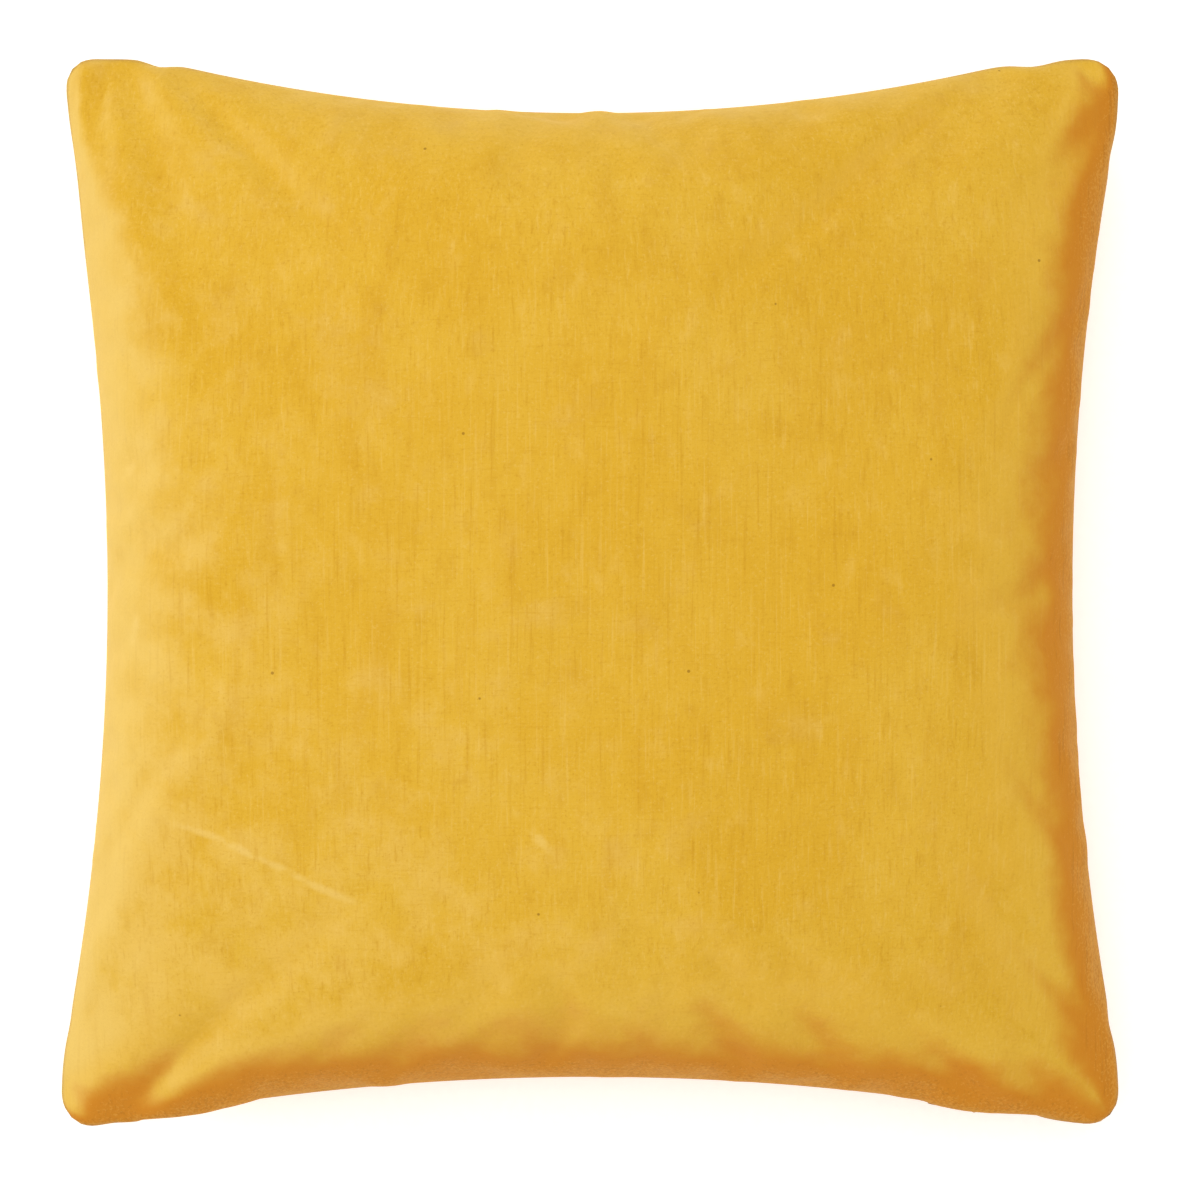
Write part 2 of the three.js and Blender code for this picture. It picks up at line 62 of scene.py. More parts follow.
# The four edges of the sewn outline, from the zip's edge round by the right: how far the filling
# draws the middle in, the radius it bows on, and the nicks beside the corners: where along the
# edge, how deep and how wide.
EDGES = [
    {
        "half": HALF_WIDTH,
        "out": HALF_LENGTH,
        "pull": 22.6 * MM,
        "bow": 1173.9 * MM,
        "nicks": [
            (-214 * MM, -1.6 * MM, 7 * MM),
            (-236 * MM, -1.0 * MM, 12 * MM),
            (205 * MM, 1.2 * MM, 7 * MM),
        ],
    },
    {
        "half": HALF_LENGTH,
        "out": HALF_WIDTH,
        "pull": 21.7 * MM,
        "bow": 1149 * MM,
        "nicks": [(-203 * MM, 0.9 * MM, 7 * MM), (205 * MM, 0.7 * MM, 7 * MM)],
    },
    {
        "half": HALF_WIDTH,
        "out": HALF_LENGTH,
        "pull": 25.4 * MM,
        "bow": 850 * MM,
        "nicks": [(-209 * MM, 3.0 * MM, 11 * MM), (203 * MM, 2.4 * MM, 7 * MM)],
    },
    {
        "half": HALF_LENGTH,
        "out": HALF_WIDTH,
        "pull": 21.7 * MM,
        "bow": 1149 * MM,
        "nicks": [(-214 * MM, 3.0 * MM, 40 * MM), (203 * MM, 0.4 * MM, 7 * MM)],
    },
]
CORNER_RADIUS = 15.5 * MM
# Over both ends of the zip the front's wall rolls out past its lip: where, how far, how widely.
ZIP_ROLLS = [(-186 * MM, 4.4 * MM, 26 * MM), (176 * MM, 3.9 * MM, 26 * MM)]

PANEL_CUT = 517 * MM  # one velvet panel from seam to seam, laid flat
VELVET, TICKING_CLOTH = 1.5 * MM, 1 * MM  # thickness, with its pile
INSERT_INSET = 15 * MM  # from the cover's seam to the insert's

# The zip follows its edge, so it turns about the same centre as the slider.
SLIDE, SWING = frame["joints"][0]["pos_m"], frame["joints"][1]["pos_m"]
PIN_STAND_OFF = 1.4 * MM
ZIP_RADIUS = math.hypot(SWING[0] - SLIDE[0], SWING[1] - SLIDE[1]) + PIN_STAND_OFF
ZIP_HALF, TAPE_HALF = 190 * MM, 200 * MM  # half of the zip, and of its tape

STATIONS = 92  # squares along one edge of a panel while it fills
DRAWN_IN_BY, FILLED_BY = 15, 40  # frames until the seam is drawn in, and until the cover is full
FILLING_PRESSURE = 20
SEAM_HALF = 232 * MM  # from the middle to the seam, on average


# ---------------------------------------------------------------- materials
def srgb(code):
    """A sRGB hex value as linear colour."""
    parts = [int(code[i : i + 2], 16) / 255 for i in (0, 2, 4)]
    return tuple(p / 12.92 if p <= 0.04045 else ((p + 0.055) / 1.055) ** 2.4 for p in parts) + (1,)


def add(tree, kind, inputs=None, out=0, **settings):
    """Adds a node. Each input is a value or the socket that feeds it; gives one of its outputs."""
    made = tree.nodes.new("ShaderNode" + kind)
    for key, value in settings.items():
        setattr(made, key, value)
    for key, value in (inputs or {}).items():
        if isinstance(value, bpy.types.NodeSocket):
            tree.links.new(value, made.inputs[key])
        else:
            made.inputs[key].default_value = value
    return made.outputs[out]


def finish_of(name, **shader):
    """A new material: its tree, its shader, and the position in metres to draw its patterns in."""
    material = bpy.data.materials.new(name)
    material.use_nodes = True
    tree = material.node_tree
    bsdf = tree.nodes["Principled BSDF"]
    for key, value in shader.items():
        bsdf.inputs[key.replace("_", " ")].default_value = value
    return material, tree, bsdf, add(tree, "TexCoord", out="Object")


def dyed(tree, ground, washes):
    """Washes of colour over a ground: colour, pattern, where it starts and is full, amount."""
    colour = ground
    for code, pattern, start, full, amount in washes:
        share = add(
            tree,
            "MapRange",
            {"Value": pattern, "From Min": start, "From Max": full, "To Max": amount},
            interpolation_type="SMOOTHSTEP",
        )
        colour = add(tree, "Mix", {0: share, 6: colour, 7: srgb(code)}, out=2, data_type="RGBA")
    return colour


def relief(tree, bsdf, depth, height, strength=0.6):
    """Lets a pattern stand out of the surface by depth metres."""
    tree.links.new(
        add(tree, "Bump", {"Height": height, "Strength": strength, "Distance": depth}),
        bsdf.inputs["Normal"],
    )


def crease(tree, place, start, end, width, wander):
    """How strongly a fold mark shows; it wavers, thins at its ends and breaks up on the way."""
    length = math.dist(start, end)
    turn = math.atan2(end[1] - start[1], end[0] - start[0])
    moved = add(
        tree,
        "Mapping",
        {"Vector": place, "Location": (*start, 0), "Rotation": (0, 0, turn)},
        vector_type="TEXTURE",
    )
    axes = add(tree, "SeparateXYZ", {"Vector": moved}).node.outputs
    waver = add(tree, "TexNoise", {"Vector": place, "Scale": 1 / (45 * MM), "Detail": 2})
    waver = add(tree, "Math", {0: waver, 1: 5 * wander, 2: -2.5 * wander}, operation="MULTIPLY_ADD")
    off = add(tree, "Math", {0: add(tree, "Math", {0: axes["Y"], 1: waver})}, operation="ABSOLUTE")
    ragged = add(tree, "TexNoise", {"Vector": place, "Scale": 1 / (14 * MM), "Detail": 3})
    fades = [
        (off, width, 0),
        (axes["X"], 0, 0.3 * length),
        (axes["X"], length, 0.7 * length),
        (ragged, 0.34, 0.6),
    ]
    mark = 1.0
    for value, gone, full in fades:
        share = add(
            tree,
            "MapRange",
            {"Value": value, "From Min": gone, "From Max": full},
            interpolation_type="SMOOTHSTEP",
        )
        mark = add(tree, "Math", {0: mark, 1: share}, operation="MULTIPLY")
    return mark


def velvet():
    """Cotton velvet, woven and cut, dyed mustard: a dense upright pile.

    Pile blooms pale where light skims it and swallows light elsewhere, so its shade is a deep
    orange; the colour paints this in by the way the surface faces, as painted light over the left
    and top shoulders and painted shade over the right and bottom ones. Strokes along the nap and
    bruises where it was pressed show as streaks and clouds.
    """
    material, tree, bsdf, place = finish_of(
        "cotton_velvet_mustard",
        Roughness=0.86,
        Specular_IOR_Level=0.15,
        Sheen_Weight=0.22,
        Sheen_Roughness=0.4,
        Sheen_Tint=srgb("FFDC8C"),
    )
    # Nap runs down the pillow: strokes 1.5 mm wide and 50 mm long, in bands a finger wide.
    down_nap = add(tree, "Mapping", {"Vector": place, "Scale": (1, 0.03, 1)})
    streaks = add(
        tree,
        "TexNoise",
        {"Vector": down_nap, "Scale": 1 / (1.5 * MM), "Detail": 2, "Roughness": 0.6},
    )
    down_band = add(tree, "Mapping", {"Vector": place, "Scale": (1, 0.2, 1)})
    bands = add(
        tree,
        "TexNoise",
        {"Vector": down_band, "Scale": 1 / (14 * MM), "Detail": 3, "Roughness": 0.6},
    )
    # Slubs in the ground cloth, across the nap: thread is 0.5 mm, drawn 1.1 mm so that it shows.
    across = add(tree, "Mapping", {"Vector": place, "Scale": (0.06, 1, 1)})
    slubs = add(
        tree,
        "TexNoise",
        {"Vector": across, "Scale": 1 / (1.1 * MM), "Detail": 2, "Roughness": 0.6},
    )
    clouds = add(
        tree,
        "TexNoise",
        {"Vector": place, "Scale": 1 / (80 * MM), "Detail": 4, "Roughness": 0.55},
    )
    # Soft blotches where the pile was handled, longer down the nap.
    soft = add(tree, "Mapping", {"Vector": place, "Scale": (1, 0.55, 1)})
    blotches = add(
        tree,
        "TexNoise",
        {"Vector": soft, "Scale": 1 / (9 * MM), "Detail": 3, "Roughness": 0.55},
    )
    bruises = add(
        tree,
        "TexNoise",
        {"Vector": place, "Scale": 1 / (24 * MM), "Detail": 5, "Roughness": 0.6},
    )
    # Tufts: 0.5 mm apart on the loom, drawn 1.4 mm so that the pile's grain shows.
    tufts = add(
        tree,
        "TexNoise",
        {"Vector": place, "Scale": 1 / (1.4 * MM), "Detail": 2, "Roughness": 0.7},
    )

    # Painted light and shade by the way the surface faces: pale painted light over the shoulders on
    # the left and at the top, deep orange painted shade over the other two.
    facing = add(tree, "SeparateXYZ", {"Vector": add(tree, "TexCoord", out="Normal")}).node.outputs
    ragged = add(tree, "Math", {0: bruises, 1: 0.5, 2: -0.25}, operation="MULTIPLY_ADD")
    left = add(tree, "Math", {0: facing["X"], 1: -1.0}, operation="MULTIPLY")
    up = add(tree, "Math", {0: facing["Y"], 1: 0.45}, operation="MULTIPLY")
    down = add(tree, "Math", {0: facing["Y"], 1: -1.0}, operation="MULTIPLY")
    painted_light_side = add(tree, "Math", {0: left, 1: up}, operation="MAXIMUM")
    painted_shade_side = add(tree, "Math", {0: facing["X"], 1: down}, operation="MAXIMUM")
    # Painted shade deepens in a band next to the right and bottom edges, 205 to 247 mm out from the
    # middle.
    axes = add(tree, "SeparateXYZ", {"Vector": place}).node.outputs
    lower = add(tree, "Math", {0: axes["Y"], 1: -1.0}, operation="MULTIPLY")
    rim = add(tree, "Math", {0: axes["X"], 1: lower}, operation="MAXIMUM")
    rim = add(
        tree,
        "MapRange",
        {"Value": rim, "From Min": 205 * MM, "From Max": 247 * MM, "To Max": 0.42},
    )
    painted_shade_side = add(tree, "Math", {0: painted_shade_side, 1: rim})
    painted_light_side, painted_shade_side = (add(tree, "Math", {0: v, 1: ragged}) for v in (painted_light_side, painted_shade_side))
    # The bruising is heaviest down the left side and along the zip's edge.
    leftward = add(tree, "Math", {0: axes["X"], 1: -0.8}, operation="MULTIPLY")
    downward = add(tree, "Math", {0: axes["Y"], 1: -0.55}, operation="MULTIPLY")
    handled = add(tree, "Math", {0: add(tree, "Math", {0: leftward, 1: downward}), 1: bruises})
    # Within the painted shade, darker painted shade along the strokes, and single tufts as painted
    # glints.
    painted_shade_streaks, glints = (
        add(tree, "Math", {0: painted_shade_side, 1: pattern}, operation="MULTIPLY")
        for pattern in (streaks, tufts)
    )
    husks = add(tree, "TexVoronoi", {"Vector": place, "Scale": 1 / (30 * MM)}, out="Distance")
    # Distance from the seam, for painted shade that darkens the pile in the seam's crease.
    seam_shade = add(tree, "Attribute", out="Fac", attribute_name="from_seam")

    washes = [
        ("E3B539", clouds, 0.36, 0.66, 1.0),
        ("CF981E", bruises, 0.54, 0.76, 0.42),
        ("EBC25C", handled, 0.52, 0.84, 0.6),
        ("CC961F", blotches, 0.53, 0.78, 0.3),
        ("F0C765", blotches, 0.47, 0.22, 0.28),
        ("CA931C", streaks, 0.54, 0.78, 0.4),
        ("F0C866", streaks, 0.46, 0.22, 0.34),
        ("D0981F", bands, 0.52, 0.75, 0.24),
        ("CC961F", slubs, 0.54, 0.78, 0.24),
        ("C08819", tufts, 0.54, 0.78, 0.36),
        ("F2CC70", tufts, 0.46, 0.22, 0.3),
        # Painted light over the left and top shoulders.
        ("F0CE74", painted_light_side, 0.14, 0.85, 0.66),
        # Painted highlight: a paler band along the shoulders where the painted shade begins.
        ("F3C350", painted_shade_side, 0.12, 0.42, 0.36),
        # Painted shade, deep orange, over the right and bottom shoulders and edges.
        ("D78820", painted_shade_side, 0.4, 0.93, 0.95),
        # Painted shade streaks and painted glints of tufts, only within the painted shade.
        ("B5701A", painted_shade_streaks, 0.5, 0.72, 0.4),
        ("ECAE4A", glints, 0.5, 0.72, 0.45),
        ("7A4A12", husks, 0.03, 0.018, 0.55),
        # Painted shade in the last 3 mm before the seam.
        ("A86A10", seam_shade, 3 * MM, 0.0, 0.3),
    ]
    creases = [  # start, end, half width and waver of each fold mark
        ((-205 * MM, -98 * MM), (-88 * MM, -147 * MM), 3.6 * MM, 2 * MM),
        ((-38 * MM, -96 * MM), (-14 * MM, -122 * MM), 4.5 * MM, 1 * MM),
        ((-216 * MM, 46 * MM), (-208 * MM, 62 * MM), 4 * MM, 1 * MM),
        ((-213 * MM, -26 * MM), (-206 * MM, -8 * MM), 4 * MM, 1 * MM),
    ]
    marks = [crease(tree, place, *c) for c in creases]
    washes += [("FBDC88", mark, 0.0, 1.0, 0.32) for mark in marks]
    tree.links.new(dyed(tree, srgb("DFAE2E"), washes), bsdf.inputs["Base Color"])

    height = 0.0
    for pattern, tall in ((streaks, 0.22), (slubs, 0.16), (tufts, 0.3), (bruises, 1.3)):
        height = add(tree, "Math", {0: pattern, 1: tall, 2: height}, operation="MULTIPLY_ADD")
    relief(tree, bsdf, 1 * MM, height)
    return material


def woven(name, pitch, across, light, dark, **shader):
    """Cloth of crossed threads pitch metres apart; across is how much the weft shows."""
    material, tree, bsdf, place = finish_of(name, **shader)
    warp, weft = (
        add(
            tree,
            "TexWave",
            {"Vector": place, "Scale": WAVE_PERIOD / pitch, "Distortion": 0.6, "Detail": 1},
            bands_direction=axis,
        )
        for axis in "XY"
    )
    threads = add(tree, "Math", {0: weft, 1: across, 2: warp}, operation="MULTIPLY_ADD")
    wear = add(tree, "TexNoise", {"Vector": place, "Scale": 1 / (20 * MM), "Detail": 3})
    washes = [(light, threads, 0.1, 1 + across, 0.8), (dark, wear, 0.5, 0.8, 0.35)]
    tree.links.new(dyed(tree, srgb(dark), washes), bsdf.inputs["Base Color"])
    relief(tree, bsdf, 0.2 * MM, threads, 0.5)
    return material


def spun(name, light, dark):
    """Spun polyester sewing thread: two plies whose twist, 1.6 mm long, shows as slanting shade."""
    material, tree, bsdf, place = finish_of(name, Roughness=0.6, Sheen_Weight=0.2)
    ply = add(
        tree,
        "TexWave",
        {"Vector": place, "Scale": WAVE_PERIOD / (1.6 * MM), "Distortion": 2, "Detail": 1},
        bands_direction="DIAGONAL",
    )
    fuzz = add(tree, "TexNoise", {"Vector": place, "Scale": 1 / (0.8 * MM), "Detail": 3})
    washes = [(light, ply, 0.1, 0.9, 0.85), (dark, fuzz, 0.5, 0.8, 0.4)]
    tree.links.new(dyed(tree, srgb(dark), washes), bsdf.inputs["Base Color"])
    relief(tree, bsdf, 0.1 * MM, ply)
    return material


def lacquered_zinc():
    """Die-cast zinc, tumbled smooth and lacquered to match the tape; its edges rub bare."""
    material, tree, bsdf, place = finish_of(
        "lacquered_zinc", Metallic=0.1, Roughness=0.42, Coat_Weight=0.1, Coat_Roughness=0.3
    )
    edges = add(tree, "NewGeometry", out="Pointiness")
    grain = add(tree, "TexNoise", {"Vector": place, "Scale": 1 / (1.2 * MM), "Detail": 4})
    rubbed = add(tree, "Math", {0: grain, 1: 0.05, 2: edges}, operation="MULTIPLY_ADD")
    washes = [("B37C22", grain, 0.3, 0.7, 1.0), ("B99A5E", rubbed, 0.56, 0.64, 0.5)]
    tree.links.new(dyed(tree, srgb("A8721B"), washes), bsdf.inputs["Base Color"])
    relief(tree, bsdf, 0.1 * MM, grain, 0.25)
    return material


def nylon():
    """Extruded nylon monofilament wound to a coil: satin, and a little see-through."""
    material, tree, bsdf, place = finish_of(
        "nylon_monofilament",
        Roughness=0.34,
        IOR=1.53,
        Subsurface_Weight=0.15,
        Subsurface_Scale=0.6 * MM,
    )
    haze = add(tree, "TexNoise", {"Vector": place, "Scale": 1 / (6 * MM), "Detail": 3})
    washes = [("D9A02E", haze, 0.3, 0.7, 1.0)]
    tree.links.new(dyed(tree, srgb("CB9020"), washes), bsdf.inputs["Base Color"])
    return material


def fibre():
    """Blown polyester fibre: matt white clumps with strands of every direction on them."""
    material, tree, bsdf, place = finish_of(
        "polyester_fibre", Roughness=0.95, Sheen_Weight=0.4, Sheen_Roughness=0.5
    )
    strands = add(
        tree,
        "TexWave",
        {
            "Vector": place,
            "Scale": WAVE_PERIOD / (3 * MM),
            "Distortion": 14,
            "Detail": 4,
            "Detail Scale": 1.4,
        },
    )
    clumps = add(tree, "TexNoise", {"Vector": place, "Scale": 1 / (18 * MM), "Detail": 4})
    washes = [("F6F6F3", clumps, 0.35, 0.65, 1.0), ("C9C7C1", strands, 0.6, 0.1, 0.35)]
    tree.links.new(dyed(tree, srgb("DAD8D2"), washes), bsdf.inputs["Base Color"])
    height = add(tree, "Math", {0: clumps, 1: 3.0, 2: strands}, operation="MULTIPLY_ADD")
    relief(tree, bsdf, 0.6 * MM, height, 0.7)
    return material


VELVET_FINISH = velvet()
THREAD_FINISH = spun("polyester_thread_mustard", "D39A2A", "9B6612")
WHITE_THREAD_FINISH = spun("polyester_thread_white", "F1EFEA", "C9C5BC")
TAPE_FINISH = woven(
    "polyester_tape_mustard", 0.7 * MM, 0.6, "CE9226", "8F5E10", Roughness=0.7, Sheen_Weight=0.2
)
TICKING_FINISH = woven(
    "cotton_ticking_white", 0.9 * MM, 1.0, "F2EEE4", "CFC9BA", Roughness=0.88, Sheen_Weight=0.15
)
LABEL_FINISH = woven(
    "satin_ribbon_white", 0.4 * MM, 0.15, "FBF8F1", "D8D3C6", Roughness=0.38, Sheen_Weight=0.3
)
NYLON_FINISH, ZINC_FINISH, FIBRE_FINISH = nylon(), lacquered_zinc(), fibre()


# ---------------------------------------------------------------- shapes
def mesh_piece(name, points, faces, material, nodes=(), body="pillow"):
    """A named mesh that rides on a body, takes a slot's finish and stands for its CAD nodes."""
    mesh = bpy.data.meshes.new(name)
    mesh.from_pydata(np.asarray(points, float).tolist(), [], [list(map(int, f)) for f in faces])
    mesh.polygons.foreach_set("use_smooth", [True] * len(mesh.polygons))
    mesh.materials.append(material)
    made = bpy.data.objects.new(name, mesh)
    bpy.context.collection.objects.link(made)
    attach(made, body)
    if nodes:
        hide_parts(*nodes)
    return made


def quarter_turns(points, count):
    for _ in range(count):
        points = np.stack([-points[:, 1], points[:, 0]], 1)
    return points


def bowed_edge(edge):
    """One edge's line, drawn in at the middle and running out straight beside the corners."""
    reach = edge["half"] - CORNER_RADIUS
    along = np.linspace(-reach, reach, 400)
    bow = edge["bow"] - np.sqrt(edge["bow"] ** 2 - along**2)
    ease = 1.2 * MM
    out = edge["pull"] - ease * np.logaddexp(0, (edge["pull"] - bow) / ease)
    drawn = edge["pull"] - out
    for place, depth, width in edge["nicks"]:
        drawn += depth * np.exp(-(((along - place) / width) ** 2))
    return np.stack([along, drawn - edge["out"]], 1)


def flat_edge(half):
    reach = half - CORNER_RADIUS
    along = np.linspace(-reach, reach, 50)
    return np.stack([along, np.full_like(along, -half)], 1)


def rounded(start, start_way, end, end_way, handle):
    """A corner from start to end, leaving and arriving along the edges beside it."""
    t = np.linspace(0, 1, 26)[1:-1, None]
    a, b = start + start_way * handle, end - end_way * handle
    return (1 - t) ** 3 * start + 3 * (1 - t) ** 2 * t * a + 3 * (1 - t) * t * t * b + t**3 * end


def outline(edges, count):
    """Four chains of count steps, each from the middle of one corner to the middle of the next."""
    lines = [quarter_turns(edge, k) for k, edge in enumerate(edges)]
    corners = []
    for k, line in enumerate(lines):
        after = lines[(k + 1) % 4]
        ways = [p / np.linalg.norm(p) for p in (line[-1] - line[-2], after[1] - after[0])]
        corners.append(rounded(line[-1], ways[0], after[0], ways[1], CORNER_RADIUS * 0.58))
    chains = []
    for k, line in enumerate(lines):
        before, after = corners[k - 1], corners[k]
        middle = len(before) // 2
        path = np.concatenate([before[middle:], line, after[: middle + 1]])
        run = np.concatenate([[0], np.cumsum(np.linalg.norm(np.diff(path, axis=0), axis=1))])
        stops = np.linspace(0, run[-1], count + 1)
        chains.append(np.stack([np.interp(stops, run, path[:, j]) for j in (0, 1)], 1))
    return chains


def filled_in(chains):
    """A grid of points inside four chains that meet at their ends."""
    low, right, high, left = chains[0], chains[1], chains[2][::-1], chains[3][::-1]
    count = len(low)
    u = np.linspace(0, 1, count)[None, :, None]
    v = np.linspace(0, 1, count)[:, None, None]
    grid = (1 - v) * low[None] + v * high[None] + (1 - u) * left[:, None] + u * right[:, None]
    ends = (1 - u) * (1 - v) * low[0] + u * (1 - v) * low[-1]
    return grid - ends - (1 - u) * v * high[0] - u * v * high[-1]


def grid_faces(count):
    at = np.arange(count * count).reshape(count, count)
    return np.stack([at[:-1, :-1], at[:-1, 1:], at[1:, 1:], at[1:, :-1]], -1).reshape(-1, 4)


def border(count):
    """The grid's outermost points, once round from the corner at its start."""
    at = np.arange(count * count).reshape(count, count)
    return np.concatenate([at[0, :-1], at[:-1, -1], at[-1, :0:-1], at[:0:-1, 0]])


def stuffed_cover():
    """Two flat panels sewn round and filled: the seam is drawn in to its outline as they swell.

    Gives the front and the back as grids of points. The cloth hardly stretches, so the fullness
    comes from the cut, the shoulders stand steep, and the corners stay flat and a little dog-eared.
    """
    count = STATIONS + 1
    total = count * count
    sewn = filled_in(outline([bowed_edge(e) for e in EDGES], STATIONS)).reshape(-1, 2)
    cut = filled_in(outline([flat_edge(PANEL_CUT / 2)] * 4, STATIONS)).reshape(-1, 2)
    way = np.linspace(-1, 1, count)
    across, along = np.meshgrid(way, way)
    fullness = ((1 - np.abs(across) ** 3) * (1 - np.abs(along) ** 3)).reshape(-1) ** 0.6

    seam = border(count)
    inner = np.setdiff1d(np.arange(total), seam)
    behind = np.arange(total)
    behind[inner] = total + np.arange(len(inner))
    flat = np.column_stack([cut, np.full(total, SEAM_Z)])
    front = np.column_stack([sewn, SEAM_Z + 0.06 * fullness])
    back = np.column_stack([sewn, SEAM_Z - 0.06 * fullness])
    faces = grid_faces(count)
    mesh = bpy.data.meshes.new("filling_cover")
    mesh.from_pydata(
        np.concatenate([flat, flat[inner]]).tolist(),
        [],
        np.concatenate([faces, behind[faces][:, ::-1]]).tolist(),
    )
    cover = bpy.data.objects.new("filling_cover", mesh)
    bpy.context.collection.objects.link(cover)
    cover.shape_key_add(name="cut")
    drawn = cover.shape_key_add(name="drawn_in")
    drawn.data.foreach_set("co", np.concatenate([front, back[inner]]).astype(np.float32).ravel())
    for frame_at, value in ((1, 0), (DRAWN_IN_BY, 1)):
        drawn.value = value
        drawn.keyframe_insert("value", frame=frame_at)
    cover.vertex_groups.new(name="seam").add(seam.tolist(), 1, "REPLACE")

    cloth = cover.modifiers.new("filling", "CLOTH")
    how = cloth.settings
    how.quality, how.mass, how.air_damping = 7, 0.3, 1
    how.tension_stiffness = how.compression_stiffness = how.shear_stiffness = 40
    how.bending_stiffness, how.bending_damping = 1, 0.5
    how.tension_damping = how.compression_damping = how.shear_damping = 10
    how.vertex_group_mass, how.pin_stiffness = "seam", 1
    how.use_pressure, how.uniform_pressure_force = True, FILLING_PRESSURE
    how.effector_weights.gravity = 0
    cloth.collision_settings.distance_min = 1 * MM
    cloth.point_cache.frame_start, cloth.point_cache.frame_end = 1, FILLED_BY

    table_mesh = bpy.data.meshes.new("filling_table")
    table_mesh.from_pydata([(-1, -1, 0), (1, -1, 0), (1, 1, 0), (-1, 1, 0)], [], [(0, 1, 2, 3)])
    table = bpy.data.objects.new("filling_table", table_mesh)
    bpy.context.collection.objects.link(table)
    table.modifiers.new("rest", "COLLISION")
    table.collision.thickness_outer, table.collision.cloth_friction = 1 * MM, 5

    scene = bpy.context.scene
    scene.frame_start, scene.frame_end = 1, FILLED_BY
    for step in range(1, FILLED_BY + 1):
        scene.frame_set(step)
    done = cover.evaluated_get(bpy.context.evaluated_depsgraph_get()).data
    found = np.empty(len(done.vertices) * 3, np.float32)
    done.vertices.foreach_get("co", found)
    found = found.reshape(-1, 3).astype(float)
    for spent in (cover, table):
        data = spent.data
        bpy.data.objects.remove(spent)
        bpy.data.meshes.remove(data)
    scene.frame_set(1)
    return found[:total].reshape(count, count, 3), found[behind].reshape(count, count, 3)


def finer(grid):
    """The same surface with a point between each two, on a smooth curve through its neighbours."""
    for axis in (0, 1):
        g = np.moveaxis(grid, axis, 0)
        between = (g[:-1] + g[1:]) / 2
        between[1:-1] = (9 * (g[1:-2] + g[2:-1]) - g[:-3] - g[3:]) / 16
        out = np.empty((2 * len(g) - 1, *g.shape[1:]))
        out[::2], out[1::2] = g, between
        grid = np.moveaxis(out, 0, axis)
    return grid


def relaxed(grid, rounds):
    """Rubs out the simulation's own small creases; the seam stays."""
    for _ in range(rounds):
        around = (grid[:-2, 1:-1] + grid[2:, 1:-1] + grid[1:-1, :-2] + grid[1:-1, 2:]) / 4
        grid[1:-1, 1:-1] += (around - grid[1:-1, 1:-1]) * 0.5
    return grid


def plumped(grid):
    """Packs the filling out to the shoulders: they stand steeper and the face is flatter."""
    grid.reshape(-1, 3)[border(FINE), :2] = SEWN.reshape(-1, 2)[border(FINE)]
    rise = grid[..., 2] - SEAM_Z
    tallest = np.abs(rise).max()
    grid[..., 2] = SEAM_Z + np.sign(rise) * tallest * (np.abs(rise) / tallest) ** 0.75
    return grid


SEWN = filled_in(outline([bowed_edge(e) for e in EDGES], 2 * STATIONS))
FINE = len(SEWN)
WAY = np.linspace(0, 1, FINE)
EDGE_SHARE = np.minimum(np.minimum(WAY, 1 - WAY)[None], np.minimum(WAY, 1 - WAY)[:, None])
FROM_SEAM = EDGE_SHARE * PANEL_CUT  # each grid point's distance from the seam, over the cloth


def inset_line(depth):
    """The seam's line moved in by depth, which may differ from point to point; once round."""
    share = np.broadcast_to(np.asarray(depth, float), (4 * (FINE - 1),)) / (2 * SEAM_HALF)
    u, v = (np.tile(WAY, (FINE, 1)).ravel()[border(FINE)], np.repeat(WAY, FINE)[border(FINE)])
    at = [(share + w * (1 - 2 * share)) * (FINE - 1) for w in (u, v)]
    low = [np.minimum(np.floor(a).astype(int), FINE - 2) for a in at]
    part = [(a - b)[:, None] for a, b in zip(at, low)]
    (i, j), (s, t) = low, part
    return (
        SEWN[j, i] * (1 - s) * (1 - t)
        + SEWN[j, i + 1] * s * (1 - t)
        + SEWN[j + 1, i] * (1 - s) * t
        + SEWN[j + 1, i + 1] * s * t
    )


def zip_share():
    """1 along the zip, 0 round the rest of the seam, with a short run between; once round."""
    x, y = inset_line(0).T
    beside = np.clip((ZIP_HALF + 2 * MM - np.abs(x)) / (4 * MM), 0, 1)
    return np.where(y < -0.2, beside, 0)


def shell(outer, faces, thickness):
    """A watertight cloth of that thickness behind an open surface, as points and faces."""
    mesh = bpy.data.meshes.new("shell")
    mesh.from_pydata(outer.tolist(), [], faces.tolist())
    normals = np.empty(len(outer) * 3, np.float32)
    mesh.vertex_normals.foreach_get("vector", normals)
    bpy.data.meshes.remove(mesh)
    inner = outer - normals.reshape(-1, 3) * thickness
    sides = np.concatenate([faces[:, [k, (k + 1) % 4]] for k in range(4)])
    count = len(outer)
    forward = sides[:, 0] * count + sides[:, 1]
    rim = sides[~np.isin(forward, sides[:, 1] * count + sides[:, 0])]
    wall = np.column_stack([rim[:, 1], rim[:, 0], rim[:, 0] + count, rim[:, 1] + count])
    return np.concatenate([outer, inner]), np.concatenate([faces, faces[:, ::-1] + count, wall])


def turned_in(grid, side, rings):
    """A panel's outer surface with its edge rolled in at the seam; rings are (line, height)."""
    loop = border(len(grid))
    points, faces, last = [grid.reshape(-1, 3)], [grid_faces(len(grid))], loop
    start = len(grid) ** 2
    for line, height in rings:
        points.append(np.column_stack([line, SEAM_Z + side * np.broadcast_to(height, len(line))]))
        here = start + np.arange(len(line))
        faces.append(np.stack([here, np.roll(here, -1), np.roll(last, -1), last], 1))
        last, start = here, start + len(line)
    faces = np.concatenate(faces)
    return np.concatenate(points), faces if side > 0 else faces[:, ::-1]


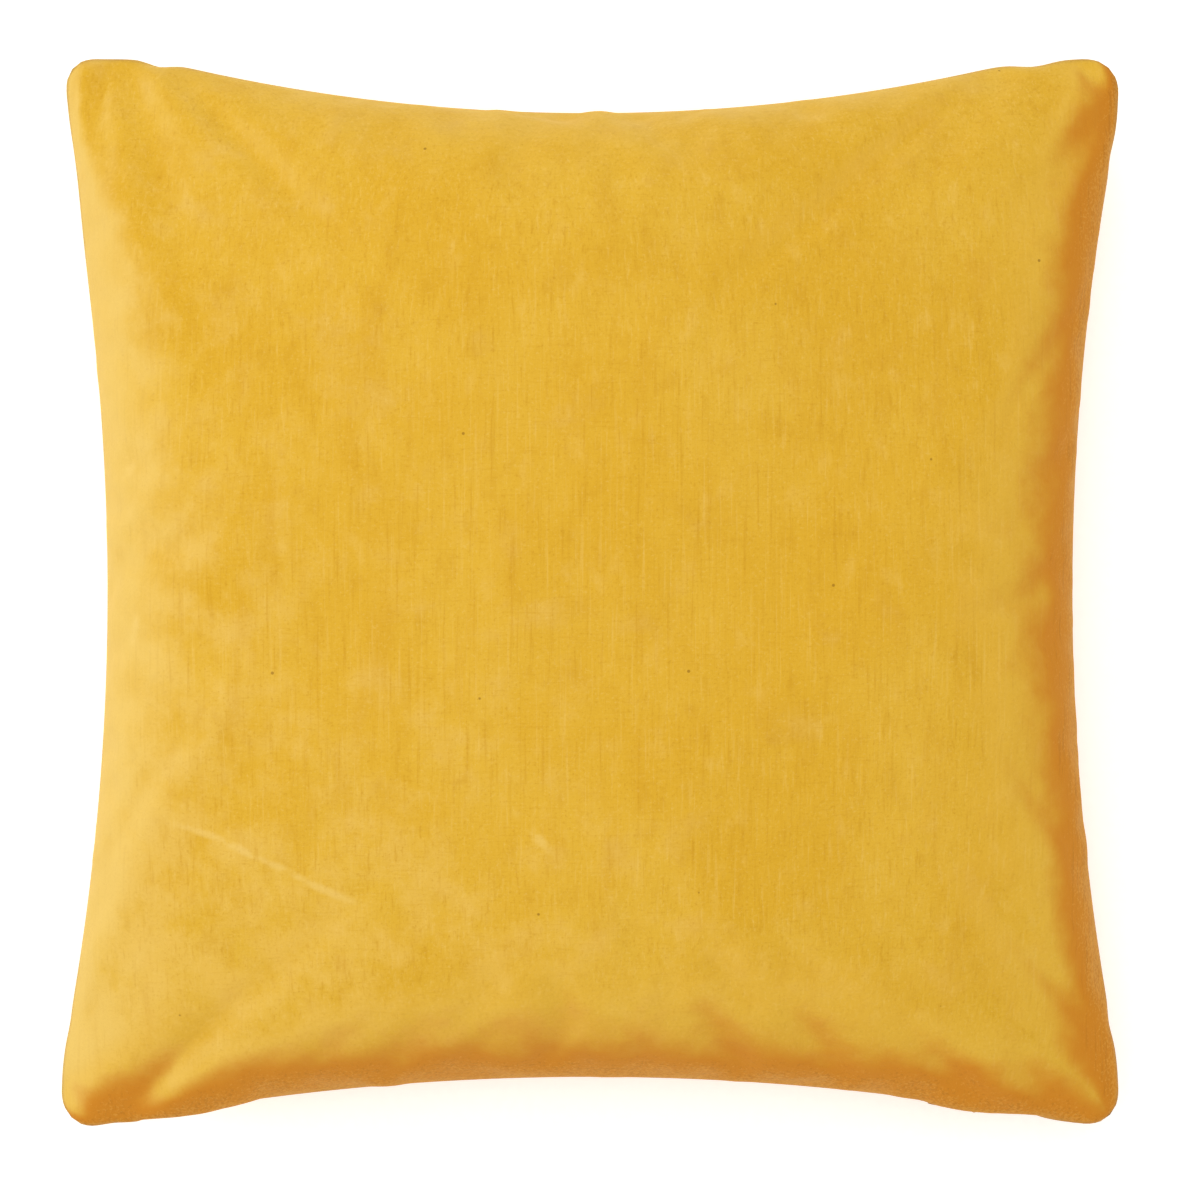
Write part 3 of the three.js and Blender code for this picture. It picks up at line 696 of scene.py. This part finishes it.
def ruffled(grid, side, seed):
    """Puckers beside the seam and slow dents over the rest, as hand-plumped filling leaves."""
    dx, dy = np.gradient(grid, axis=1), np.gradient(grid, axis=0)
    normal = np.cross(dx, dy) * side
    normal /= np.linalg.norm(normal, axis=2, keepdims=True)
    flat = grid.reshape(-1, 3)
    slow, mid, quick = (
        np.array([noise.noise(Vector(p / size) + Vector((seed, 0, 0))) for p in flat]).reshape(
            FINE, FINE
        )
        for size in (85 * MM, 30 * MM, 11 * MM)
    )
    hold = FROM_SEAM / (FROM_SEAM + 2.5 * MM)
    pucker = np.exp(-FROM_SEAM / (16 * MM))
    puckered = pucker * (0.9 * MM * mid + 0.7 * MM * quick)
    height = hold * (1.5 * MM * slow + 0.5 * MM * mid + puckered)
    return grid + normal * height[..., None]


def rolled(grid):
    """The front's fullness rolls out over both ends of the zip, as far as it hides the pull."""
    run = FROM_SEAM / (5 * MM)
    proud = sum(
        far * np.exp(-(((grid[..., 0] - place) / width) ** 2)) for place, far, width in ZIP_ROLLS
    )
    grid[..., 1] -= proud * run * np.exp(1 - run) * (grid[..., 1] < 0)
    return grid


def smoothly(share, near, far):
    return near + (far - near) * share


def velvet_panel(name, grid, side, node):
    """One side of the cover, its allowance turned in flat, or folded to a lip along the zip."""
    zipped = zip_share()
    lift = np.exp(-FROM_SEAM / (7 * MM))[..., None] * np.array([0, 0, side])
    beside = np.clip((ZIP_HALF + 2 * MM - np.abs(grid[..., 0])) / (4 * MM), 0, 1)
    along_zip = beside * (grid[..., 1] < 0)
    grid = grid + lift * (1.7 * MM + 0.6 * MM * along_zip[..., None])
    if side > 0:
        grid = rolled(grid)
    grid = ruffled(grid, side, 3 + side)
    profile = [  # depth and height at the seam, then along the zip
        (0.35, 0.8, 0.3, 1.4),
        (1.1, 0.35, 1.0, 1.0),
        (2.6, 0.15, 1.8, 0.9),
        (5, 0.15, 2.1, 0.9),
        (8.5, 0.15, 2.3, 0.9),
        (12, 0.15, 2.5, 0.9),
    ]
    rings = [
        (inset_line(smoothly(zipped, d * MM, zd * MM)), smoothly(zipped, h * MM, zh * MM))
        for d, h, zd, zh in profile
    ]
    outer, faces = turned_in(grid, side, rings)
    points, all_faces = shell(outer, faces, VELVET)
    made = mesh_piece(name, points, all_faces, VELVET_FINISH, [node])
    near = np.concatenate([FROM_SEAM.reshape(-1), np.zeros(len(outer) - FINE * FINE)])
    store = made.data.attributes.new("from_seam", "FLOAT", "POINT")
    store.data.foreach_set("value", np.concatenate([near, near]).astype(np.float32))
    return made, grid


def under(cover, side, gap):
    """A look-up of how high the cloth above lets a layer rise, gap clear of it."""
    tree = BVHTree.FromPolygons(cover.reshape(-1, 3).tolist(), grid_faces(len(cover)).tolist())

    def room(x, y):
        hit, normal, _, _ = tree.ray_cast(Vector((x, y, SEAM_Z)), Vector((0, 0, side)))
        return max(abs(hit.z - SEAM_Z) - gap / max(abs(normal.z), 0.3), 0) if hit else 0

    return room


def layer_grid(cover, side, inset, gap, shoulder, lumps=0.0):
    """A layer inside the cover: its own edge inset from the seam, its face under the cover's."""
    room = under(cover, side, gap)
    ring = [c for c in np.split(inset_line(inset), 4)]
    chains = [np.concatenate([ring[k], ring[(k + 1) % 4][:1]]) for k in range(4)]
    flat = filled_in(chains)
    steps = np.minimum(WAY, 1 - WAY) * (PANEL_CUT - 2 * inset) / shoulder
    rise = (1 - (1 - np.minimum(steps, 1)) ** 2.6) ** 0.55
    share = rise[None] * rise[:, None]
    tall = np.array([room(x, y) for x, y in flat.reshape(-1, 2)]).reshape(FINE, FINE)
    if lumps:
        clump = [noise.noise(Vector((x, y, side)) / (24 * MM)) for x, y in flat.reshape(-1, 2)]
        tall = tall - lumps * (0.5 + 0.5 * np.array(clump).reshape(FINE, FINE))
    return np.dstack([flat, SEAM_Z + side * np.maximum(tall * share, 0)])


def tube(points, radius, sides=5):
    """A round thread along points."""
    points = np.asarray(points, float)
    way = np.roll(points, -1, 0) - np.roll(points, 1, 0)
    way[0], way[-1] = points[1] - points[0], points[-1] - points[-2]
    way /= np.linalg.norm(way, axis=1, keepdims=True)
    side = np.cross(way[0], (0.3, 0.2, 1.0))
    frames = []
    for w in way:
        side = side - w * np.dot(side, w)
        side /= np.linalg.norm(side)
        frames.append((side, np.cross(w, side)))
    turn = np.linspace(0, 2 * math.pi, sides, endpoint=False)
    a, b = (np.array([f[k] for f in frames])[:, None] for k in (0, 1))
    rings = points[:, None] + radius * (
        a * np.cos(turn)[None, :, None] + b * np.sin(turn)[None, :, None]
    )
    count = len(points)
    at = np.arange(count * sides).reshape(count, sides)
    here, there = at[:-1], at[1:]
    faces = np.stack([here, np.roll(here, -1, 1), np.roll(there, -1, 1), there], -1).reshape(-1, 4)
    faces = faces.tolist() + [at[0, ::-1].tolist(), at[-1].tolist()]
    return rings.reshape(-1, 3), faces


def joined(parts):
    points, faces, start = [], [], 0
    for part_points, part_faces in parts:
        points.append(part_points)
        faces += [[i + start for i in face] for face in part_faces]
        start += len(part_points)
    return np.concatenate(points), faces


def thread_piece(name, lines, radius, material, nodes, sides=5):
    points, faces = joined([tube(line, radius, sides) for line in lines])
    return mesh_piece(name, points, faces, material, nodes)


def seam_run(depth, from_zip):
    """The line at that depth: all round, or from one end of the zip round to the other."""
    line = inset_line(depth)
    if from_zip:
        low = line[: FINE - 1]
        right_end = int(np.argmax(low[:, 0] > ZIP_HALF + 3 * MM))
        left_end = int(np.argmax(low[:, 0] > -ZIP_HALF - 3 * MM))
        line = np.concatenate([line[right_end:], line[:left_end]])
    else:
        line = np.concatenate([line, line[:1]])
    run = np.concatenate([[0], np.cumsum(np.linalg.norm(np.diff(line, axis=0), axis=1))])
    inward = np.stack([-np.gradient(line[:, 1]), np.gradient(line[:, 0])], 1)
    inward /= np.linalg.norm(inward, axis=1, keepdims=True)

    def at(distance, deeper=0.0):
        both = [[np.interp(distance, run, a[:, j]) for j in (0, 1)] for a in (line, inward)]
        return np.stack(both[0], -1) + np.stack(both[1], -1) * np.asarray(deeper)[..., None]

    return at, run[-1]


def lockstitched(depth, from_zip, half_height, pitch):
    """Needle and bobbin threads, each on its own face of the seam, meeting in every hole."""
    at, length = seam_run(depth, from_zip)
    stitches = int(length / pitch)
    shape = [(0.0, 0.0), (0.1, 0.8), (0.3, 1.0), (0.7, 1.0), (0.9, 0.8)]
    where = np.array([(k + a) * length / stitches for k in range(stitches) for a, _ in shape])
    lift = np.array([h for _ in range(stitches) for _, h in shape]) * half_height
    flat = at(where, np.zeros(len(where)))
    return [np.column_stack([flat, SEAM_Z + side * lift]) for side in (1, -1)]


def overlocked(depth, half_width, half_height, pitch):
    """A thread wound round the raw edges of both allowances."""
    at, length = seam_run(depth, True)
    turns = int(length / pitch)
    angle = np.linspace(0, turns * 2 * math.pi, turns * 8 + 1)
    squared = [np.sign(f(angle)) * np.abs(f(angle)) ** 0.7 for f in (np.cos, np.sin)]
    flat = at(angle / angle[-1] * length, squared[0] * half_width)
    return [np.column_stack([flat, SEAM_Z + squared[1] * half_height])]


def on_zip(along, depth, height):
    """A point of the zip: along its edge from the middle, in from the seam, off its plane."""
    turn = np.asarray(along) / ZIP_RADIUS
    reach = ZIP_RADIUS + np.asarray(depth)
    return np.stack(
        np.broadcast_arrays(
            SLIDE[0] + reach * np.sin(turn),
            SLIDE[1] + reach * np.cos(turn),
            SEAM_Z + np.asarray(height),
        ),
        -1,
    )


TAPE_OUTER, TAPE_THICK = 5.1 * MM, 0.6 * MM
TAPE_START, TAPE_BEND = 2.6 * MM, 4.8 * MM  # heights at which it starts, and starts to lean
TAPE_RUN = 8.55 * MM  # width of the leaning strip


def tape_lean(cover, side, stops):
    """How far the tape leans in at each stop, so that it lies inside the cloth it is sewn to."""
    tree = BVHTree.FromPolygons(cover.reshape(-1, 3).tolist(), grid_faces(len(cover)).tolist())
    deep = 45 * MM
    leans = []
    for stop in stops:
        inside, outside = (Vector(on_zip(stop, d, 0)) for d in (deep, 0))
        way = (outside - inside).normalized()
        lean = 0.45
        while lean < 8:
            step = TAPE_RUN / math.hypot(1, lean)
            clear = True
            for share in (0.0, 0.25, 0.5, 0.75, 1.0):
                height = TAPE_BEND + step * share
                start = inside + Vector((0, 0, side * height))
                hit, normal, _, far = tree.ray_cast(start, way)
                wall = deep - far if hit else 0
                room = (VELVET + 0.5 * MM) / max(abs(normal.dot(way)), 0.35) if hit else 0
                clear = clear and TAPE_OUTER + step * share * lean >= wall + room
            if clear:
                break
            lean *= 1.15
        leans.append(lean)
    leans = np.array(leans)
    widest = np.max([np.roll(leans, k) for k in (-2, -1, 0, 1, 2)], axis=0)
    widest[:2], widest[-2:] = widest[2], widest[-3]
    return np.convolve(np.pad(widest, 2, "edge"), np.ones(5) / 5, "valid")


def zip_half_pieces(side, word, cover):
    """The tape, coil and stitching of one side of the zip."""
    stops = np.linspace(-TAPE_HALF, TAPE_HALF, 220)
    leans = tape_lean(cover, side, stops)

    def on_tape(along, run):
        """Height and depth of the tape's outer face, run metres past its bend."""
        lean = np.interp(along, stops, leans)
        step = np.maximum(run, 0) / np.hypot(1, lean)
        return TAPE_BEND + np.minimum(run, 0) + step, TAPE_OUTER + step * lean

    runs = np.concatenate(
        [np.linspace(TAPE_START - TAPE_BEND, 0, 4), np.linspace(0, TAPE_RUN, 10)[1:]]
    )
    selvedge = 0.06 * MM * np.cos(runs / (1.3 * MM) * 2 * math.pi)
    points = []
    for stop in stops:
        height, depth = on_tape(stop, runs)
        strip = np.concatenate([
            on_zip(stop, depth - selvedge, side * height),
            on_zip(stop, depth + TAPE_THICK + selvedge, side * height)[::-1],
        ])
        points.append(strip)
    size = 2 * len(runs)
    at = np.arange(len(stops) * size).reshape(-1, size)
    near, far = at[:-1], at[1:]
    faces = np.stack([near, np.roll(near, -1, 1), np.roll(far, -1, 1), far], -1)
    faces = faces.reshape(-1, 4).tolist() + [at[0, ::-1].tolist(), at[-1].tolist()]
    if side > 0:
        faces = [f[::-1] for f in faces]
    tape = mesh_piece(
        f"woven_zip_tape_{word}",
        np.concatenate(points),
        faces,
        TAPE_FINISH,
        [f"zip_tape_{word}"],
    )

    pitch = 1.25 * MM  # one turn of a number 3 coil
    reach = 186.4 * MM
    turns = int(2 * reach / pitch)
    angle = np.linspace(0, turns * 2 * math.pi, turns * 9 + 1)
    wire = 0.24 * MM
    height = side * (1.4 * MM + (0.9 * MM - wire) * np.cos(angle))
    depth = 5.4 * MM + (1.0 * MM - wire) * np.sin(angle)
    line = on_zip(-reach + angle / angle[-1] * 2 * reach, depth, height)
    coil = thread_piece(
        f"wound_coil_{word}", [line], wire, NYLON_FINISH, [f"zip_coil_{word}"], 6
    )

    sewn_at = 4.2 * MM  # past the bend
    pitch = 3 * MM
    count = int(2 * TAPE_HALF / pitch) - 1
    shape = [(0.0, 0.3), (0.12, -0.28), (0.5, -0.34), (0.88, -0.28)]
    where = np.array([(k + a) * pitch for k in range(count) for a, _ in shape]) - TAPE_HALF + 2 * MM
    proud = np.array([h for _ in range(count) for _, h in shape]) * MM
    height, depth = on_tape(where, np.full(len(where), sewn_at))
    lines = [
        on_zip(where, depth + proud, side * height),
        on_zip(where, depth + TAPE_THICK - proud, side * height),
    ]
    stitching = thread_piece(
        f"tape_stitches_{word}",
        lines,
        0.17 * MM,
        THREAD_FINISH,
        [f"zip_stitching_{word}"],
    )
    return [tape, coil, stitching]


def label_loop():
    """A blank satin ribbon folded to a loop, its two ends held in the seam."""
    low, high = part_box("care_label")
    thick = 0.22 * MM
    length, width = high.z - low.z, high.y - low.y
    way = np.linspace(0, 1, 15)
    up = low.z + length * way
    # The loop: up one leaf, round the fold and down the other.
    leaf_a = np.stack([low.x + 0.9 * MM + (high.x - low.x - 1.2 * MM) * way, up], 1)
    turn = np.linspace(0, math.pi, 7)[1:-1]
    top = leaf_a[-1] + (0.45 * MM, 0)
    fold_radius, hem = 0.45 * MM, 0.4 * MM
    fold = np.stack(
        [top[0] - fold_radius * np.cos(turn), top[1] + fold_radius * np.sin(turn) - hem], 1
    )
    leaf_b = leaf_a[::-1] + (0.9 * MM, 0)
    leaf_b[:, 0] += 0.5 * MM * np.sin(np.linspace(0, math.pi, len(leaf_b)))
    path = np.concatenate([leaf_a - (0, hem), fold, leaf_b - (0, hem)])
    strips = np.linspace(low.y, high.y, 13)
    curl = 0.25 * MM * np.cos((strips - low.y) / width * 2 * math.pi)
    grid = np.array([[(x + c, y, z) for y, c in zip(strips, curl)] for x, z in path])
    rows, columns = grid.shape[:2]
    at = np.arange(rows * columns).reshape(rows, columns)
    faces = np.stack([at[:-1, :-1], at[:-1, 1:], at[1:, 1:], at[1:, :-1]], -1).reshape(-1, 4)
    points, faces = shell(grid.reshape(-1, 3), faces, thick)
    return mesh_piece("care_ribbon", points, faces, LABEL_FINISH, ["care_label"])


# ---------------------------------------------------------------- the pillow
front_shape, back_shape = (plumped(finer(relaxed(g, 2))) for g in stuffed_cover())
front, front_cover = velvet_panel("velvet_front", front_shape, 1, "front_panel")
back, back_cover = velvet_panel("velvet_back", back_shape, -1, "back_panel")

cover_seam = thread_piece(
    "cover_lockstitch",
    lockstitched(3 * MM, True, 1.95 * MM, 3 * MM),
    0.2 * MM,
    THREAD_FINISH,
    ["cover_seam_thread"],
)
overlock = thread_piece(
    "cover_overlock",
    overlocked(10.9 * MM, 2.3 * MM, 2.1 * MM, 2.6 * MM),
    0.2 * MM,
    THREAD_FINISH,
    ["cover_overlock_thread"],
)
zip_front = zip_half_pieces(1, "front", front_cover)
zip_back = zip_half_pieces(-1, "back", back_cover)
label = label_loop()

ticking = {}
for side, word, cover in ((1, "front", front_cover), (-1, "back", back_cover)):
    grid = layer_grid(cover, side, INSERT_INSET, VELVET + 0.9 * MM, 60 * MM)
    rings = [
        (inset_line(INSERT_INSET + depth * MM), height * MM)
        for depth, height in ((0.6, 0.25), (1.8, 0.12), (4, 0.12), (6, 0.12))
    ]
    grid[..., 2] += side * 1.2 * MM * np.exp(-FROM_SEAM / (6 * MM))
    outer, faces = turned_in(grid, side, rings)
    points, all_faces = shell(outer, faces, TICKING_CLOTH)
    made = mesh_piece(
        f"ticking_{word}", points, all_faces, TICKING_FINISH, [f"insert_{word}_ticking"]
    )
    ticking[word] = (made, grid)

thread_piece(
    "insert_lockstitch",
    lockstitched(INSERT_INSET + 2.8 * MM, False, 1.25 * MM, 3.2 * MM),
    0.17 * MM,
    WHITE_THREAD_FINISH,
    ["insert_seam_thread"],
)

halves = [
    layer_grid(
        ticking[word][1], side, INSERT_INSET + 7.5 * MM, TICKING_CLOTH + 0.6 * MM, 40 * MM, 2.5 * MM
    )
    for side, word in ((1, "front"), (-1, "back"))
]
loop = border(FINE)
top, bottom = (h.reshape(-1, 3) for h in halves)
top_faces = grid_faces(FINE)
bottom_index = np.arange(FINE * FINE) + FINE * FINE
bottom_index[loop] = loop
fill = mesh_piece(
    "fibre_filling",
    np.concatenate([top, bottom]),
    np.concatenate([top_faces, bottom_index[top_faces][:, ::-1]]),
    FIBRE_FINISH,
    ["fibre_fill"],
)

# The metal parts keep their shapes; tumbling has rounded their edges.
stops = ("zip_top_stop_front", "zip_top_stop_back", "zip_bottom_stop")
for node in ("zip_slider_body", "zip_pull_tab", *stops):
    metal = frame["nodes"][node]
    metal.data.materials.clear()
    metal.data.materials.append(ZINC_FINISH)
    metal.modifiers.new("one_skin", "WELD").merge_threshold = 0.001 * MM
    rounding = metal.modifiers.new("tumbled", "BEVEL")
    rounding.width, rounding.segments, rounding.limit_method = 0.14 * MM, 3, "ANGLE"
    rounding.use_clamp_overlap = True

# ---------------------------------------------------------------- floor, light and camera
floor_material, floor_tree, floor_shader, floor_place = finish_of(
    "matt_white_board", Roughness=0.9, Emission_Color=(1, 1, 1, 1), Emission_Strength=0.35
)
board_grain = add(floor_tree, "TexNoise", {"Vector": floor_place, "Scale": 1 / (4 * MM)})
floor_tree.links.new(
    dyed(floor_tree, srgb("F7F7F7"), [("FBFBFB", board_grain, 0.3, 0.7, 1.0)]),
    floor_shader.inputs["Base Color"],
)
floor_mesh = bpy.data.meshes.new("floor")
reach = 6
floor_corners = [(-reach, -reach, 0), (reach, -reach, 0), (reach, reach, 0), (-reach, reach, 0)]
floor_mesh.from_pydata(floor_corners, [], [(0, 1, 2, 3)])
floor_mesh.materials.append(floor_material)
floor = bpy.data.objects.new("floor", floor_mesh)
bpy.context.collection.objects.link(floor)


def lamp(name, place, size, power, colour):
    """A soft box that faces the pillow."""
    data = bpy.data.lights.new(name, "AREA")
    data.shape, data.size, data.energy, data.color = "DISK", size, power, colour
    made = bpy.data.objects.new(name, data)
    made.location = place
    made.rotation_mode = "QUATERNION"
    made.rotation_quaternion = (Vector((0, 0, SEAM_Z)) - Vector(place)).to_track_quat("-Z", "Y")
    bpy.context.collection.objects.link(made)


lamp("key", (-2.6, 1.3, 1.9), 1.4, 30, (1.0, 0.98, 0.94))
lamp("overhead", (0.0, 0.1, 3.2), 2.0, 46, (1.0, 0.98, 0.95))
world = bpy.data.worlds.new("studio")
world.use_nodes = True
room_light = world.node_tree.nodes["Background"].inputs
room_light["Color"].default_value = (1.0, 0.97, 0.93, 1)
room_light["Strength"].default_value = 0.46
bpy.context.scene.world = world

camera_data = bpy.data.cameras.new("camera")
camera_data.lens, camera_data.sensor_width = 100, 36
camera = bpy.data.objects.new("camera", camera_data)
camera.location = (4.7 * MM, -3.8 * MM, SEAM_Z + 1572 * MM)
bpy.context.collection.objects.link(camera)
bpy.context.scene.camera = camera
bpy.context.scene.view_settings.view_transform = "Standard"
